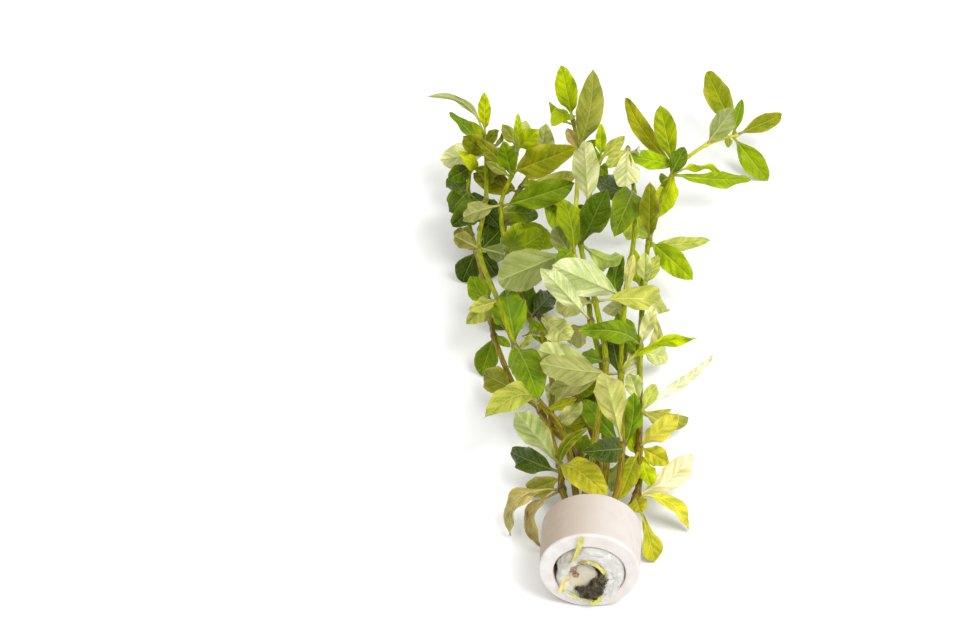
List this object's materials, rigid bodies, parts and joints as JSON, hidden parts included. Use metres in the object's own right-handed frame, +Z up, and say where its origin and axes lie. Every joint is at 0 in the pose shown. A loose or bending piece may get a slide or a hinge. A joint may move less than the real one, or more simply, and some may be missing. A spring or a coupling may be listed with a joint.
{
  "type": "bunch of dwarf hygrophila in a ceramic ring",
  "caption": "Bunch of leafy water-plant cuttings with swollen stem joints, lying down, cut ends packed with wool in a short ceramic ring.",
  "frame": {"origin": "centre of the bounding box at its base, on the surface that the bunch lies on", "axes": "+Z up, +Y along the stems from the ring towards the growing tips, +X to the right when looking along +Y"},
  "size_m": [0.132, 0.2564, 0.0614],
  "materials": {
    "ceramic": "matte, unglazed",
    "wool": "fibrous mineral wool",
    "root": "damp dark fibres",
    "old_leaf": "soft yellowed plant tissue",
    "stem": "smooth plant stem, brown at its joints",
    "leaf": "leaf, glossy above and pale below"
  },
  "bodies": {
    "root": {"ceramic_ring": "ceramic", "leaf_a1_1": "leaf", "leaf_a1_2": "leaf", "leaf_a2_1": "leaf", "leaf_a2_2": "leaf", "leaf_a2_4": "leaf", "leaf_a3_1": "leaf", "leaf_a6_1": "leaf", "leaf_b3_1": "leaf", "leaf_b3_2": "leaf", "leaf_b7_1": "leaf", "leaf_b8_1": "leaf", "leaf_b8_2": "leaf", "leaf_c6_1": "leaf", "leaf_c7_1": "leaf", "leaf_c7_2": "leaf", "leaf_c8_1": "leaf", "leaf_d6_1": "leaf", "leaf_d7_1": "leaf", "leaf_e10_1": "leaf", "leaf_e10_2": "leaf", "leaf_e3_1": "leaf", "leaf_e4_1": "leaf", "leaf_e6_1": "leaf", "leaf_e9_1": "leaf", "leaf_f4_1": "leaf", "leaf_f5_1": "leaf", "leaf_f5_2": "leaf", "leaf_f6_1": "leaf", "leaf_g2_1": "leaf", "leaf_g3_1": "leaf", "leaf_g3_2": "leaf", "leaf_g4_1": "leaf", "leaf_g6_1": "leaf", "leaf_g6_2": "leaf", "leaf_g7_1": "leaf", "leaf_h10_1": "leaf", "leaf_h10_2": "leaf", "leaf_h10_3": "leaf", "leaf_h1_1": "leaf", "leaf_h1_2": "leaf", "leaf_h3_1": "leaf", "leaf_h4_1": "leaf", "leaf_h6_1": "leaf", "leaf_h6_2": "leaf", "leaf_h8_2": "leaf", "leaf_h8_3": "leaf", "leaf_h8_4": "leaf", "leaf_h8_5": "leaf", "leaf_strip": "old_leaf", "root_clump": "root", "stem_a": "stem", "stem_b": "stem", "stem_c": "stem", "stem_d": "stem", "stem_e": "stem", "stem_f": "stem", "stem_g": "stem", "stem_h": "stem", "wool_plug": "wool"}
  },
  "joints": []
}
